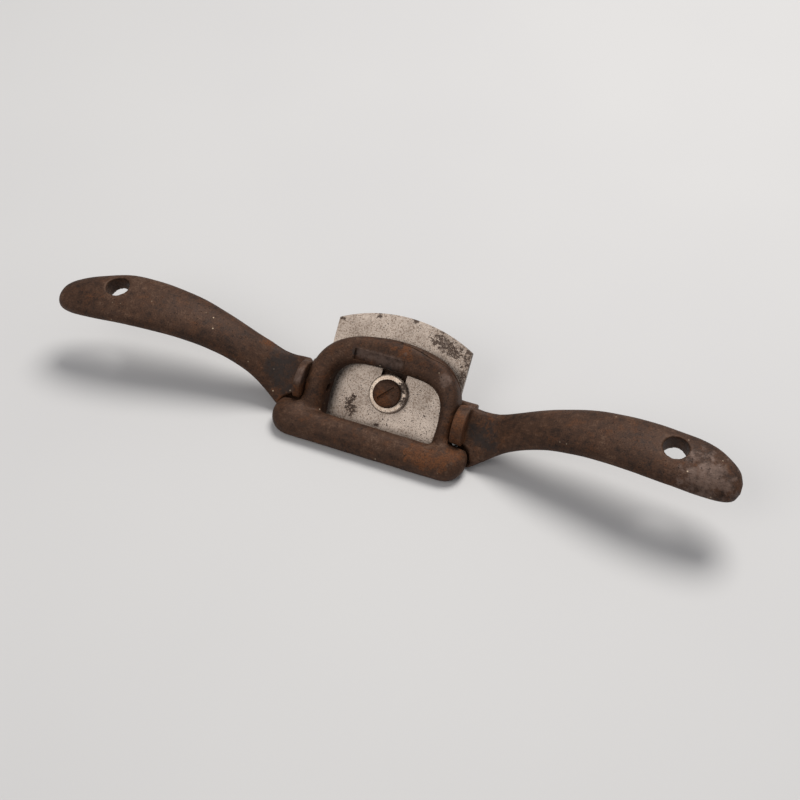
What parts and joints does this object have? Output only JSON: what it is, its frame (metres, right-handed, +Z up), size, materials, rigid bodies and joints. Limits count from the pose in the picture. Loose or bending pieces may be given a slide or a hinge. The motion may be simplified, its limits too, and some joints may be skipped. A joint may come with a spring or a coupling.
{
  "type": "spokeshave",
  "caption": "Adjustable-mouth spokeshave: raised gull-wing iron handles, a hinged throat hoop whose bar is the toe sole, and a slotted steel cutter held by a washer and screw.",
  "frame": {"origin": "middle of the heel's flat sole face, level with the surface that the tool stands on", "axes": "+X along the handles, +Y from the toe bar to the heel, +Z up out of the sole"},
  "size_m": [0.2672, 0.0509, 0.0334],
  "materials": {
    "cast_iron": "satin brown rust patina, darker in the scooped handle roots",
    "cutter_steel": "worn bright, pitted, with dark stains",
    "washer_steel": "worn, brown in the pores",
    "rusty_steel": "evenly rusted",
    "spring_steel": "dull, oily"
  },
  "bodies": {
    "stock_body": {"stock": "cast_iron", "pivot_pin_left": "rusty_steel", "pivot_pin_right": "rusty_steel", "mouth_spring": "spring_steel"},
    "hoop_body": {"throat_hoop": "cast_iron"},
    "cutter_body": {"cutter": "cutter_steel"},
    "cap_body": {"cap_screw": "rusty_steel", "cap_washer": "washer_steel"},
    "thumbscrew_body": {"mouth_thumbscrew": "rusty_steel"}
  },
  "joints": [
    {"name": "hoop_pivot", "type": "hinge", "parent": "stock_body", "child": "hoop_body", "pos_m": [0, -0.00726, 0.01175], "axis": [1, 0, 0], "range_deg": [-5, 2.5], "deforming": ["mouth_spring"]},
    {"name": "thumbscrew_turn", "type": "hinge", "parent": "stock_body", "child": "thumbscrew_body", "pos_m": [0, 0.00963, 0.0193], "axis": [0, -0.682, 0.7314], "range_deg": [-450, 225]},
    {"name": "cutter_depth", "type": "slide", "parent": "stock_body", "child": "cutter_body", "axis": [0, 0.7314, 0.682], "range_m": [-0.0015, 0.003]},
    {"name": "cap_screw_turn", "type": "hinge", "parent": "stock_body", "child": "cap_body", "pos_m": [0, -0.00047, 0.00988], "axis": [0, -0.682, 0.7314], "range_deg": [-30, 720]}
  ],
  "couplings": [
    {"joint": "thumbscrew_turn", "follows": "hoop_pivot", "ratio": 88}
  ]
}
